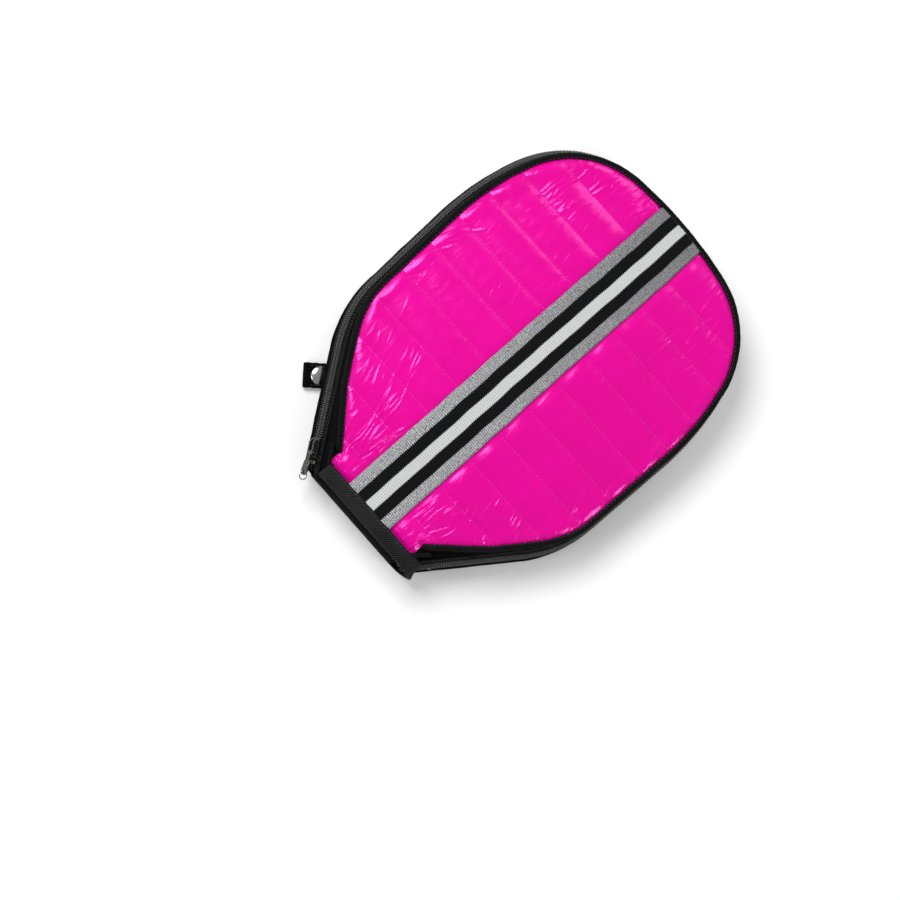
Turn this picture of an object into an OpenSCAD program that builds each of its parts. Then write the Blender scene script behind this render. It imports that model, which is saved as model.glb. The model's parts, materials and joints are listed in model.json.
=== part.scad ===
// Padded case for two paddles: a back shell and a front shell joined by a zip that runs round the
// case from one corner of the open neck to the other, where a short fabric hinge joins the shells.
// It lies on its back panel: X across, Y from the neck to the top, Z up from the back panel.

/* [Outline] */
// Distance from the case's middle to its top edge, and to the neck's end
half_length = 144.3; // [130:0.1:160]
// Radius of the flat top of the outline
top_r = 290; // [250:1:400]
// Turn of the outline along half of the top, in degrees
top_turn = 8.5; // [6:0.5:11]
// Radius of the upper corners
corner_r = 73; // [65:1:78]
// Turn of the outline round an upper corner, in degrees
corner_turn = 64.5; // [60:0.5:68]
// Radius of the long bow below the corner
bow_r = 190; // [170:1:220]
// Turn of the outline along the bow, in degrees
bow_turn = 19; // [17:0.5:21]
// Length of the straight side
side_length = 64; // [58:0.5:70]
// Radius of the lower shoulders
shoulder_r = 84; // [75:1:95]
// Turn of the outline round a shoulder, in degrees
shoulder_turn = 34; // [31:0.5:36]

/* [Depth] */
// Height of the front panel's edge above the back face
edge_z = 42; // [38:0.5:46]
// Rise of the front panel's middle above its edge
dome_h = 6; // [3:0.5:8]
// Thickness of the outer covers
cover_t = 0.8; // [0.6:0.1:1.2]
// Thickness of the quilted wadding
padding_t = 3.6; // [3:0.1:4.2]
// Thickness of the lining
lining_t = 0.6; // [0.5:0.1:1]
// Radius of the dome's round ends
dome_r = 90; // [80:1:92]
// Height of the widest line of the back gusset
bulge_z = 14.5; // [12:0.5:16]
// Thickness of the gusset fabric
gusset_t = 1.4; // [1:0.1:2]

/* [Insets from the outline] */
// Panel edges, along the top and sides
panel_in = 9; // [8:0.5:10]
// Panel edges, along the tapered sides of the neck
panel_neck_in = 12.5; // [11:0.5:14]
// Zip, along the top and sides
zip_in = 3; // [2.5:0.1:3.5]
// Zip, along the tapered sides of the neck
zip_neck_in = 4; // [3.5:0.1:4.5]

/* [Trim] */
// Radius of the rounded edge binding
binding_r = 1.8; // [1.4:0.1:2]
// Length of the tapered edge that the binding leaves bare, measured up from the neck's end
binding_stop = 17; // [14:1:26]
// Width of the centre stripe's webbing
stripe_w = 38; // [30:1:45]
// Thickness of the centre stripe's webbing
stripe_t = 0.9; // [0.6:0.1:1.2]
// Depth of the tape that binds the neck edges
neck_tape = 9.3; // [8:0.1:12]

/* [Zip] */
// Height of the zip above the back face
zip_z = 26; // [25:0.5:27]
// Tilt of the zip's face from upright, in degrees
zip_tilt = 26; // [22:1:28]
// Half of the upright gap between the two rows of the coil
row_gap = 0.65; // [0.6:0.05:0.75]
// Height of one row of the coil
coil_h = 2.1; // [1.9:0.1:2.3]
// Thickness of the coil
coil_t = 1.6; // [1.4:0.1:1.8]
// Height of one zip tape
tape_h = 5.2; // [5:0.1:5.3]
// Thickness of the zip tape
tape_t = 0.6; // [0.5:0.1:0.7]

/* [Slider and puller] */
// Distance of the slider's middle from the neck's end, along the zip
slider_s = 14; // [13.5:0.5:20]
// Length of the slider
slider_l = 12; // [10:0.5:13]
// Width of the slider
slider_w = 8.8; // [8:0.2:9.4]
// Length of the puller from its pin to its ring hole
puller_l = 12; // [10:0.5:15]
// Width of the puller's grip
puller_w = 6.4; // [5:0.2:7]
// Angle at which the puller stands off the zip, in degrees
puller_lift = 8; // [6:1:12]

/* [Snap tab] */
// Distance of the tab's middle from the neck's end, along the tapered side
tab_s = 58; // [50:0.5:66]
// Turn of the tab from square to the tapered side, in degrees
tab_turn = 9; // [0:0.5:12]
// Width of the tab's webbing
tab_w = 16; // [14:0.5:18]
// Distance from the outline to the axis of the tab's fold
fold_out = 9.9; // [9.5:0.1:10.5]
// Thickness of the tab's webbing
web_t = 1.4; // [1:0.1:1.5]
// Radius of the snap's cap
cap_r = 5.9; // [5:0.1:6]

/* [Hidden] */
$fn = 180;

black_tape = [0.10, 0.10, 0.11];
black_mesh = [0.14, 0.14, 0.15];
pink_nylon = [0.92, 0.02, 0.60];
grey_band = [0.62, 0.63, 0.62];
dark_metal = [0.16, 0.16, 0.17];
bright_metal = [0.80, 0.80, 0.82];

arc_step = 3;         // degrees between the points of an outline's arcs
slice_t = 0.02;       // thickness of the slices that a gusset is stretched over
past = 20;            // how far a cutting shape runs past what it cuts
neck_y = -half_length;
taper_tilt = top_turn + corner_turn + bow_turn + shoulder_turn - 90;
panel_end_y = neck_y + neck_tape;

// --- The outline: arcs and straights from the middle of the top to the neck, clockwise. Each is
// [turn, radius], or [0, length]. An inset outline has its neck taper set in further than the rest.
function segments(inset, neck_in) = [
    [top_turn, top_r - inset],
    [corner_turn, corner_r - inset],
    [bow_turn, bow_r - inset],
    [0, side_length - (neck_in - inset) / sin(shoulder_turn)],
    [shoulder_turn, shoulder_r - inset]
];

// A state is [point, heading].
function after(state, seg) =
    seg[0] == 0
    ? [state[0] + seg[1] * along(state[1]), state[1]]
    : [arc_centre(state, seg) - seg[1] * right_of(state[1] - seg[0]), state[1] - seg[0]];
function along(heading) = [cos(heading), sin(heading)];
function right_of(heading) = [sin(heading), -cos(heading)];
function arc_centre(state, seg) = state[0] + seg[1] * right_of(state[1]);
function states(inset, segs) = [
    for (i = 0, state = [[0, half_length - inset], 0];
         i <= len(segs);
         state = i < len(segs) ? after(state, segs[i]) : state, i = i + 1)
        state
];
function last(list) = list[len(list) - 1];

// Points of the right half, down to the height end_y on the taper
function arc_points(state, seg) =
    seg[0] == 0
    ? [state[0]]
    : let (steps = ceil(seg[0] / arc_step))
      [for (k = [0:steps - 1]) k == 0 ? state[0] : after(state, [seg[0] * k / steps, seg[1]])[0]];
function half_points(inset, neck_in, end_y) =
    let (segs = segments(inset, neck_in),
         all = states(inset, segs),
         foot = last(all),
         run = (foot[0][1] - end_y) / sin(-foot[1]))
    concat(
        [for (i = [0:len(segs) - 1]) each arc_points(all[i], segs[i])],
        [foot[0], foot[0] + run * along(foot[1])]
    );
function mirrored(points) = [for (i = [len(points) - 1:-1:1]) [-points[i][0], points[i][1]]];
module outline(inset, neck_in, end_y = neck_y) {
    half = half_points(inset, neck_in, end_y);
    polygon(concat(half, mirrored(half)));
}

// Where the taper meets the neck's end, for an inset
function neck_x(inset) = last(half_points(0, 0, neck_y))[0] - inset / cos(taper_tilt);

// --- Bands: thin walls that follow the outline. A level is [height, inset, inset at the taper].
module slice(level, inner, end_y)
    translate([0, 0, level[0]])
        linear_extrude(slice_t)
            outline(level[1] + inner, level[2] + inner, end_y);
module stretched(levels, inner, end_y)
    hull()
        for (level = levels)
            slice(level, inner, end_y);
module column(level, inner, low, high)
    translate([0, 0, low])
        linear_extrude(high - low)
            outline(level[1] + inner, level[2] + inner, neck_y - past);
module band(levels, wall, end_y = neck_y) {
    bottom = levels[0];
    top = last(levels);
    difference() {
        stretched(levels, 0, end_y);
        stretched(levels, wall, neck_y - past);
        column(bottom, wall, bottom[0] - past, bottom[0] + slice_t / 2);
        column(top, wall, top[0] + slice_t / 2, top[0] + past);
    }
}

// --- Panels: flat layers with a shallow dome that has a straight middle and round ends
dome_low_y = -24;
dome_high_y = 40;
dome_steps = 8;
function dome_rise(r) = dome_h * (1 - pow(r / dome_r, 2));
function dome_side(z) = [
    for (k = [0:dome_steps])
        let (r = dome_r * (1 - k / dome_steps))
        [r, z + dome_rise(r)]
];
module dome_profile(z)
    polygon(concat([[0, z - 1], [dome_r, z - 1]], dome_side(z)));
module dome(z) {
    for (y = [dome_low_y, dome_high_y])
        translate([0, y, 0])
            rotate_extrude() dome_profile(z);
    translate([0, dome_high_y, 0])
        rotate([90, 0, 0])
            linear_extrude(dome_high_y - dome_low_y) {
                dome_profile(z);
                mirror([1, 0]) dome_profile(z);
            }
}
module panel_shape() outline(panel_in, panel_neck_in, panel_end_y);
module flat_layer(low, high)
    translate([0, 0, low])
        linear_extrude(high - low) children();
module domed_layer(low, high)
    difference() {
        union() {
            flat_layer(low, high) children();
            dome(high);
        }
        dome(low);
    }

lining_z = edge_z - cover_t - padding_t - lining_t;
padding_z = edge_z - cover_t - padding_t;
cover_z = edge_z - cover_t;

module back_cover() color(pink_nylon) flat_layer(0, cover_t) panel_shape();
module back_padding()
    color("white") flat_layer(cover_t, cover_t + padding_t) panel_shape();
module back_lining()
    color(black_tape)
        flat_layer(cover_t + padding_t, cover_t + padding_t + lining_t) panel_shape();
module front_cover() color(pink_nylon) domed_layer(cover_z, edge_z) panel_shape();
module front_padding() color("white") domed_layer(padding_z, cover_z) panel_shape();
module front_lining() color(black_tape) domed_layer(lining_z, padding_z) panel_shape();

stripe_end = 1;    // bare length between the webbing and the top binding
module stripe_webbing()
    color(grey_band)
        intersection() {
            domed_layer(edge_z, edge_z + stripe_t) panel_shape();
            translate([-stripe_w / 2, panel_end_y, padding_z])
                cube([stripe_w, half_length - panel_in - stripe_end - panel_end_y, past]);
        }

// --- Edge bindings: a round bead along each panel's edge, bare near the neck
bead_steps = 3;
bead_end_y = neck_y + binding_stop * cos(taper_tilt);
bead_clear = 0.5;    // the back bead's height above the ground
function bead_levels(z) = [
    for (k = [-bead_steps:bead_steps])
        let (a = 90 * k / bead_steps, out = binding_r * (1 + cos(a)))
        [z + binding_r * sin(a), panel_in - out, panel_neck_in - out]
];
module edge_bead(z)
    color(black_tape)
        difference() {
            stretched(bead_levels(z), 0, bead_end_y);
            column([0, panel_in, panel_neck_in], 0, -past, edge_z + past);
        }
module back_edge_binding() edge_bead(binding_r + bead_clear);
module front_edge_binding() edge_bead(edge_z - binding_r);

// --- Neck bindings: the tape folded over each panel's neck edge
module neck_block(low, high, neck_in)
    flat_layer(low, high)
        difference() {
            outline(panel_in, neck_in);
            translate([-half_length, panel_end_y])
                square([2 * half_length, 3 * half_length]);
        }
fold_t = 0.6;    // thickness of the folded tape on each face of the panel
bead_in = panel_neck_in - 2 * binding_r;
module back_neck_binding()
    color(black_tape) {
        neck_block(0, back_gusset_z - seam_gap, bead_in);
        neck_block(0, cover_t + padding_t + lining_t + fold_t, panel_neck_in);
    }
module front_neck_binding()
    color(black_tape) {
        neck_block(front_gusset_z + seam_gap, edge_z + fold_t, bead_in);
        neck_block(lining_z - fold_t, edge_z + fold_t, panel_neck_in);
    }

// --- Gussets
seam_z = 32;           // where the front gusset meets the zip tape
back_seam_z = 20;      // where the back gusset meets the zip tape
front_gusset_z = edge_z - 2 * binding_r - 0.4;
back_gusset_z = 2 * binding_r + bead_clear + 0.3;
seam_gap = 0.1;        // between a gusset and the neck binding beside it
front_levels = [
    [seam_z, 5.9, 7.4],
    [front_gusset_z - slice_t, 6.7, 10.3]
];
back_levels = [
    [back_gusset_z, 5.4, 8.6],
    [bulge_z, 0, 0],
    [back_seam_z - slice_t, 0.6, 1.4]
];
module front_gusset() color(black_mesh) band(front_levels, gusset_t);
module back_gusset() color(black_mesh) band(back_levels, gusset_t);

// --- Zip: two rows that lie on a tilted face, cut level above and below the gap
function zip_level(rise, out) =
    let (n = out / cos(zip_tilt) - rise * tan(zip_tilt))
    [zip_z + rise, zip_in - n, zip_neck_in - n];
function zip_row(low, high, out) = [zip_level(low, out), zip_level(high - slice_t, out)];
coil_out = coil_t / 2;
tape_out = -coil_out - 0.05;
module tape_row(low, high)
    color(black_tape) band(zip_row(low, high, tape_out), tape_t / cos(zip_tilt));
coil_end_s = 7.2;      // where the coil ends, from the neck's end
coil_end_y = neck_y + coil_end_s * cos(taper_tilt);
module coil_row(low, high)
    color(dark_metal) band(zip_row(low, high, coil_out), coil_t / cos(zip_tilt), coil_end_y);
module front_zip_tape() tape_row(row_gap, row_gap + tape_h);
module back_zip_tape() tape_row(-row_gap - tape_h, -row_gap);
module front_zip_coil() coil_row(row_gap, row_gap + coil_h);
module back_zip_coil() coil_row(-row_gap - coil_h, -row_gap);

// --- Places on the left taper. Their X runs down to the neck, Y up the face and Z outwards.
module on_taper(s, inset, z, tilt)
    translate([
        -neck_x(inset) - s * sin(taper_tilt),
        neck_y + s * cos(taper_tilt),
        z
    ])
        rotate([0, 0, taper_tilt - 90])
            rotate([90 - tilt, 0, 0])
                children();
module on_zip(s) on_taper(s, zip_neck_in, zip_z, zip_tilt) children();
module box_between(low, high) translate(low) cube(high - low);

stop_s = 4.5;        // the stops' middle, from the neck's end
stop_l = 2;
stop_side = 0.35;    // how far a stop stands proud of the coil
module stop_clip(up)
    color(dark_metal)
        on_zip(stop_s)
            mirror([0, up ? 0 : 1, 0])
                box_between(
                    [-stop_l / 2, row_gap, -coil_t / 2],
                    [stop_l / 2, row_gap + coil_h + stop_side, coil_t / 2 + stop_side]
                );
module front_top_stop() stop_clip(true);
module back_top_stop() stop_clip(false);

// --- Fabric hinge over the zip's closed end, at the right corner of the neck
leaf_low_s = 3;
leaf_high_s = 16;
leaf_in = 1.0;         // distance of the leaf's inner face from the zip's middle
leaf_t = 0.5;
leaf_gap = 0.9;        // from the bend to the back leaf's near edge
leaf_w = 7.4;
module on_hinge() mirror([1, 0, 0]) on_zip(0) children();
module leaf(low, high)
    box_between([-leaf_high_s, low, leaf_in], [-leaf_low_s, high, leaf_in + leaf_t]);
module hinge_leaf_front()
    color(black_tape)
        on_hinge() {
            leaf(0, leaf_w);
            translate([-leaf_high_s, 0, leaf_in + leaf_t])
                rotate([0, 90, 0])
                    cylinder(h = leaf_high_s - leaf_low_s, r = leaf_t, $fn = 48);
        }
module hinge_leaf_back() color(black_tape) on_hinge() leaf(-leaf_w, -leaf_gap);

end_stop_s = 19;
module zip_end_stop()
    color(dark_metal)
        mirror([1, 0, 0])
            on_zip(end_stop_s)
                box_between(
                    [-stop_l / 2, -row_gap - coil_h, coil_t / 2 + 0.05],
                    [stop_l / 2, -row_gap, coil_t / 2 + stop_side + 0.15]
                );

// --- Slider: an outer and an inner plate joined by a post between the rows, with two rails
plate_low = 1.1;       // the outer plate's inner face
plate_high = 2.2;
inner_low = -2.9;
inner_high = -1.9;
post_half = 0.35;      // half of the post's thickness; the post lies level
post_in = -2.6;
post_out = 2;
post_l = 6;
rail_t = 1.2;
rail_in = 1.7;         // the rails' inner faces, from the middle
rail_high = 4.7;
rail_l = 10;
pin_r = 0.6;
pin_z = 3.6;           // the pin's height over the zip's middle
pin_x = 3.6;           // the pin's distance from the slider's middle, towards the neck
module rounded_plate(length, width, low, high, corner)
    translate([0, 0, low])
        linear_extrude(high - low)
            union() {
                square([length - 2 * corner, width], center = true);
                square([length, width - 2 * corner], center = true);
                for (x = [-1, 1], y = [-1, 1])
                    translate([x * (length / 2 - corner), y * (width / 2 - corner)])
                        circle(corner, $fn = 48);
            }
module slider_rail(side)
    difference() {
        box_between(
            [-rail_l / 2, side > 0 ? rail_in : -rail_in - rail_t, plate_high - 0.1],
            [rail_l / 2, side > 0 ? rail_in + rail_t : -rail_in, rail_high]
        );
        translate([pin_x, 0, pin_z])
            rotate([90, 0, 0])
                cylinder(h = 4 * rail_in, r = pin_r, center = true, $fn = 48);
        translate([-rail_l / 2, 0, rail_high])
            rotate([0, 45, 0])
                cube([2.4, 4 * rail_in, 2.4], center = true);
    }
module slider_body()
    color(dark_metal)
        on_zip(slider_s) {
            rounded_plate(slider_l, slider_w, plate_low, plate_high, 1.6);
            rounded_plate(slider_l - 1, slider_w - 2.4, inner_low, inner_high, 1.6);
            rotate([zip_tilt, 0, 0])
                box_between(
                    [-slider_l / 2 + 1.6, -post_half, post_in],
                    [-slider_l / 2 + 1.6 + post_l, post_half, post_out]
                );
            for (side = [-1, 1])
                slider_rail(side);
        }
module puller_pin()
    color(dark_metal)
        on_zip(slider_s)
            translate([pin_x, 0, pin_z])
                rotate([90, 0, 0])
                    cylinder(h = 2 * (rail_in + rail_t), r = pin_r, center = true, $fn = 48);

// --- Puller: an eye on the pin, a narrow neck, a wider grip and a hole for the ring
module on_pin()
    on_zip(slider_s)
        translate([pin_x, 0, pin_z])
            rotate([0, -puller_lift, 0])
                children();
eye_r = 1.3;
eye_w = 2.8;
pin_clear = 0.1;
puller_t = 1.5;
neck_run = 5.5;        // the narrow neck's length from the pin
hole_r = 1.1;
module puller_plate()
    color(dark_metal)
        on_pin()
            difference() {
                union() {
                    rotate([90, 0, 0])
                        cylinder(h = eye_w, r = eye_r, center = true, $fn = 64);
                    box_between([0, -eye_w / 2, -puller_t / 2], [neck_run, eye_w / 2, puller_t / 2]);
                    box_between(
                        [neck_run, -puller_w / 2, -puller_t / 2],
                        [puller_l, puller_w / 2, puller_t / 2]
                    );
                    translate([puller_l, 0, -puller_t / 2])
                        cylinder(h = puller_t, r = puller_w / 2, $fn = 96);
                }
                rotate([90, 0, 0])
                    cylinder(h = 2 * eye_w, r = pin_r + pin_clear, center = true, $fn = 48);
                translate([puller_l + ring_inset, 0, 0])
                    cylinder(h = 4 * puller_t, r = hole_r, center = true, $fn = 48);
            }
ring_inset = 0.9;
ring_r = 2.6;
ring_wire = 0.45;
module puller_ring()
    color(bright_metal)
        on_pin()
            translate([puller_l + ring_inset + ring_r, 0, 0])
                rotate([90, 0, 0])
                    rotate_extrude($fn = 96)
                        translate([ring_r, 0]) circle(ring_wire, $fn = 32);

// --- Snap tab: a webbing leg on the ground, folded back over itself and held by a snap
tab_low = 0.7;         // the lower leg's underside
fold_r = 1.95;         // outer radius of the fold
fold_z = tab_low + fold_r;
cap_out = 1.3;         // distance of the snap's middle outside the outline
flap_in = -3.7;        // the flap's free end
base_in = -6.2;        // where the lower leg meets the back binding
base_out = 7.8;
module on_tab() on_taper(tab_s, 0, 0, 0) rotate([0, tab_turn, 0]) children();
module tab_leg(low, high, from, to)
    box_between([-tab_w / 2, low, from], [tab_w / 2, high, to]);
module upright(out, low, high, r)
    translate([0, low, out])
        rotate([-90, 0, 0])
            cylinder(h = high - low, r = r, $fn = 96);
stud_disc_t = 0.5;
stud_top = 3.9;
socket_t = 0.35;
leg_top = tab_low + web_t;
flap_top = tab_low + 2 * fold_r;
flap_low = flap_top - web_t;
socket_bore = 2.7;
module tab_base() color(black_tape) on_tab() tab_leg(tab_low, leg_top, base_in, base_out);
module snap_stud()
    color(bright_metal)
        on_tab() {
            upright(cap_out, leg_top, leg_top + stud_disc_t - 0.1, 4.2);
            upright(cap_out, leg_top, stud_top, 1.7);
        }
module tab_flap()
    color(black_tape)
        on_tab()
            difference() {
                union() {
                    tab_leg(flap_low, flap_top, flap_in, fold_out);
                    translate([0, fold_z, fold_out])
                        rotate([0, 90, 0])
                            cylinder(h = tab_w, r = fold_r, center = true, $fn = 64);
                }
                upright(cap_out, fold_z, flap_top + 1, socket_bore);
            }
module snap_socket()
    color(bright_metal)
        on_tab()
            difference() {
                upright(cap_out, flap_low - socket_t, flap_low, 4.2);
                upright(cap_out, flap_low - 1, flap_top, socket_bore);
            }
cap_rim = 0.5;
cap_dome = 1.4;
module snap_cap()
    color(bright_metal)
        on_tab()
            translate([0, flap_top, cap_out])
                rotate([-90, 0, 0])
                    rotate_extrude($fn = 96)
                        polygon(concat(
                            [[0, 0], [cap_r, 0], [cap_r, cap_rim]],
                            [for (a = [15:15:90]) [cap_r * cos(a), cap_rim + cap_dome * sin(a)]]
                        ));

back_cover();
back_padding();
back_lining();
back_edge_binding();
back_gusset();
back_zip_tape();
back_zip_coil();
back_neck_binding();
back_top_stop();
zip_end_stop();
hinge_leaf_back();
tab_base();
snap_stud();
front_cover();
front_padding();
front_lining();
stripe_webbing();
front_edge_binding();
front_gusset();
front_zip_tape();
front_zip_coil();
front_neck_binding();
front_top_stop();
hinge_leaf_front();
slider_body();
puller_pin();
puller_plate();
puller_ring();
tab_flap();
snap_socket();
snap_cap();
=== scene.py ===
import json
import math

import bmesh
import bpy
import numpy as np
from mathutils import Matrix, Vector


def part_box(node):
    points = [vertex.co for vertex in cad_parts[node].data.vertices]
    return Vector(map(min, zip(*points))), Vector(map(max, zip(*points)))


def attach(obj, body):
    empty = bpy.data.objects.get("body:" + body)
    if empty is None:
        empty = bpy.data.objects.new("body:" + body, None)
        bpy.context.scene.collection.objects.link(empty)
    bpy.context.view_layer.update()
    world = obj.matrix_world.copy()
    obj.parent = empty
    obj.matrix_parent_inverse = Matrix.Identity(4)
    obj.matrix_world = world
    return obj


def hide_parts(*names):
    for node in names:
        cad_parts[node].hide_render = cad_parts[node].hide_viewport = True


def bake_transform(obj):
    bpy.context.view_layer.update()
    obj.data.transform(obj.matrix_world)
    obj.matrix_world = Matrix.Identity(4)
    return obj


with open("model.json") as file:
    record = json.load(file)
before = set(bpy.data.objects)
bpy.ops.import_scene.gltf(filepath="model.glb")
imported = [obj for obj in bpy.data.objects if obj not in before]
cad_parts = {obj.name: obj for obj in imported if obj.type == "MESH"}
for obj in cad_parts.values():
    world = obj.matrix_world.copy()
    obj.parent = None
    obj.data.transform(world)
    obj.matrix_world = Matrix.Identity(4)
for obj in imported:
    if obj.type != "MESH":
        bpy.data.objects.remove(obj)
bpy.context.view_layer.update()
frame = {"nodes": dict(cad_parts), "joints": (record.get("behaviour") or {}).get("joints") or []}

MM = 0.001
TAU = 2 * math.pi
FRONT, BACK = "front_shell", "back_shell"

# --- Driving dimensions, in millimetres. X across, Y from the neck to the top, Z up.
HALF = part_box("back_gusset")[1].y / MM           # half of the case's length
CHAIN = (8.5, 290), (64.5, 73), (19, 190), (0, 64), (34, 84)   # outline: turn and radius, or 0 and length
TILT = math.radians(sum(turn for turn, _ in CHAIN) - 90)         # the neck's taper from upright
SHEAR_RUN = 34                                   # how far up the taper the square neck end is felt
EDGE_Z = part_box("front_edge_binding")[1].z / MM  # the front panel's edge
DOME_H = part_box("front_cover")[1].z / MM - EDGE_Z
DOME_R, DOME_LOW, DOME_HIGH = 90, -24, 40        # the dome's radius, and the ends of its middle line
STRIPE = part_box("stripe_webbing")[1].x / MM      # half of the stripe's width
STRIPE_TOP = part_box("stripe_webbing")[1].y / MM
PANEL_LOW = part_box("front_cover")[0].y / MM + 0.4
PITCH, SEAM_Y = 24.8, 6.3                        # the quilting lines' pitch, and where one crosses the middle
BASE_IN = {FRONT: 0.1, BACK: 0.9}                # from a panel's outer face to the base of its pad's cover
PAD_T = {FRONT: 4.4, BACK: 3.5}                  # from there to the pad's inner face
LINING_IN = {FRONT: 0.2, BACK: 0.6}              # from there to the middle of the lining
ZIP_Z, ZIP_TILT = 26, math.radians(26)           # height of the zip's gap, and how far its face leans
ZIP_IN = (3, 4)                                  # insets from the outline: at the sides, and on the taper
BEAD_R, BEAD_IN = 1.9, (7.2, 10.7)               # the edge binding: its radius and the same two insets
BEAD_BARE = 17                                   # length of the tapered edge below the binding
DRAWN_IN, DRAWN_RUN = 6.4, (14, 56)              # extra inset of the front edge at the neck, and its run


# ===== meshes =====

def linked(name, data):
    """A new object in the scene."""
    item = bpy.data.objects.new(name, data)
    bpy.context.scene.collection.objects.link(item)
    return item


def make(name, points, faces, material, body=None, uv=None):
    """A smooth mesh from points in millimetres; uv holds one pair for each face corner, in millimetres."""
    mesh = bpy.data.meshes.new(name)
    mesh.from_pydata((np.asarray(points, float).reshape(-1, 3) * MM).tolist(), [], [list(f) for f in faces])
    if uv is not None:
        mesh.uv_layers.new(name="UVMap").data.foreach_set("uv", np.asarray(uv, np.float32).ravel())
    mesh.update()
    mesh.shade_smooth()
    mesh.materials.append(material)
    piece = linked(name, mesh)
    if body:
        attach(piece, body)
    return piece


def tube(name, rings, material, body=None, closed=True):
    """A mesh through rings of points, in an array of ring, point and axis. Its u runs along, its v round."""
    rings = np.asarray(rings, float)
    n, m = rings.shape[:2]
    last = m if closed else m - 1
    along = np.r_[0, np.cumsum(np.linalg.norm(np.diff(rings.mean(1), axis=0), axis=1))]
    loop = np.concatenate([rings, rings[:, :1]], 1) if closed else rings
    round_it = np.r_[0, np.cumsum(np.linalg.norm(np.diff(loop, axis=1), axis=2).mean(0))]
    faces, uv = [], []
    for i in range(n - 1):
        for j in range(last):
            k = (j + 1) % m
            faces.append((i * m + j, i * m + k, (i + 1) * m + k, (i + 1) * m + j))
            uv += [(along[i], round_it[j]), (along[i], round_it[j + 1]),
                   (along[i + 1], round_it[j + 1]), (along[i + 1], round_it[j])]
    if closed:
        faces += [tuple(range(m))[::-1], tuple((n - 1) * m + j for j in range(m))]
        uv += [(0, v) for v in round_it[:m][::-1]] + [(along[-1], v) for v in round_it[:m]]
    return make(name, rings, faces, material, body, uv)


def scatter(name, template, faces, centres, axes, material, body):
    """Copies of a small shape: axes holds, for each centre, the rows that carry the shape's x, y and z."""
    template, centres, axes = (np.asarray(a, float) for a in (template, centres, axes))
    points = centres[:, None] + np.einsum("mk,nkd->nmd", template, axes)
    step = len(template)
    every = [[v + step * i for v in face] for i in range(len(centres)) for face in faces]
    return make(name, points, every, material, body, None)


def bead(stops, sides=6):
    """A closed rounded shape along its own x, from (x, half width in y, half height in z) stops."""
    points, faces = [(stops[0][0], 0, 0)], []
    turns = [TAU * k / sides for k in range(sides)]
    for x, wide, high in stops[1:-1]:
        points += [(x, wide * math.cos(a), high * math.sin(a)) for a in turns]
    points.append((stops[-1][0], 0, 0))
    rings = len(stops) - 2
    for k in range(sides):
        nxt = (k + 1) % sides
        faces.append((0, 1 + nxt, 1 + k))
        for r in range(rings - 1):
            a = 1 + r * sides
            faces.append((a + k, a + nxt, a + sides + nxt, a + sides + k))
        a = 1 + (rings - 1) * sides
        faces.append((a + k, a + nxt, len(points) - 1))
    return points, faces


def unit(v):
    return v / np.maximum(np.linalg.norm(v, axis=-1, keepdims=True), 1e-12)


def ripple(s, length, seed, count=5):
    """A smooth uneven wave along s, about -1 to 1, of about that wavelength."""
    draw = np.random.default_rng(seed)
    waves = [np.sin(TAU * s / (length * draw.uniform(0.6, 1.7)) + draw.uniform(0, TAU)) for _ in range(count)]
    return sum(waves) / math.sqrt(count)


def swell(x, y, length, seed, count=7):
    """The same over a surface, in every direction."""
    draw = np.random.default_rng(seed)
    total = 0
    for _ in range(count):
        turn, wave = draw.uniform(0, math.pi), length * draw.uniform(0.7, 1.6)
        total = total + np.sin(TAU * (x * math.cos(turn) + y * math.sin(turn)) / wave + draw.uniform(0, TAU))
    return total / math.sqrt(count)


def smooth(t):
    t = np.clip(t, 0, 1)
    return t * t * (3 - 2 * t)


# ===== the outline =====

def right_half(step=1.5):
    """Points, outward normals and taper weights, clockwise from the middle of the top to the neck's end."""
    rows, place, heading = [], np.array([0.0, HALF]), 0.0
    for turn, size in CHAIN:
        length = math.radians(turn) * size if turn else size
        count = round(length / step)
        ahead = np.array([math.cos(heading), math.sin(heading)])
        centre = place + size * np.array([ahead[1], -ahead[0]])
        for k in range(count):
            a = heading - math.radians(turn) * k / count
            normal = np.array([-math.sin(a), math.cos(a)])
            at = centre + size * normal if turn else place + ahead * length * k / count
            rows.append((*at, *normal, smooth(k / count) if size == CHAIN[-1][1] else 0))
        heading -= math.radians(turn)
        new = np.array([-math.sin(heading), math.cos(heading)])
        place = centre + size * new if turn else place + ahead * length
    run = (place[1] + HALF) / math.cos(TILT)
    ahead = np.array([math.cos(heading), math.sin(heading)])
    count = round(run / step)
    for k in range(count + 1):
        rows.append((*(place + ahead * run * k / count), -math.sin(heading), math.cos(heading), 1))
    return np.array(rows)


RIGHT = right_half()
LEFT = RIGHT[:0:-1] * (-1, 1, -1, 1, 1)
PATH = np.concatenate([LEFT, RIGHT])
PATH_S = np.r_[0, np.cumsum(np.linalg.norm(np.diff(PATH[:, :2], axis=0), axis=1))]
TOTAL = PATH_S[-1]                               # s runs from the neck's left end over the top to its right


def on_path(s, side, neck, z):
    """Points at distance s along the outline, set in by side (or by neck on the tapers), at height z."""
    s, side, neck, z = np.broadcast_arrays(*(np.asarray(v, float) for v in (s, side, neck, z)))
    x, y, nx, ny, w = (np.interp(s, PATH_S, PATH[:, i]) for i in range(5))
    d = side * (1 - w) + neck * w
    slide = d * math.tan(TILT) * np.clip(1 - np.minimum(s, TOTAL - s) / SHEAR_RUN, 0, 1)
    slide = np.where(s < TOTAL / 2, -slide, slide)
    return np.stack([x - nx * d + ny * slide, y - ny * d - nx * slide, z], -1)


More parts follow.
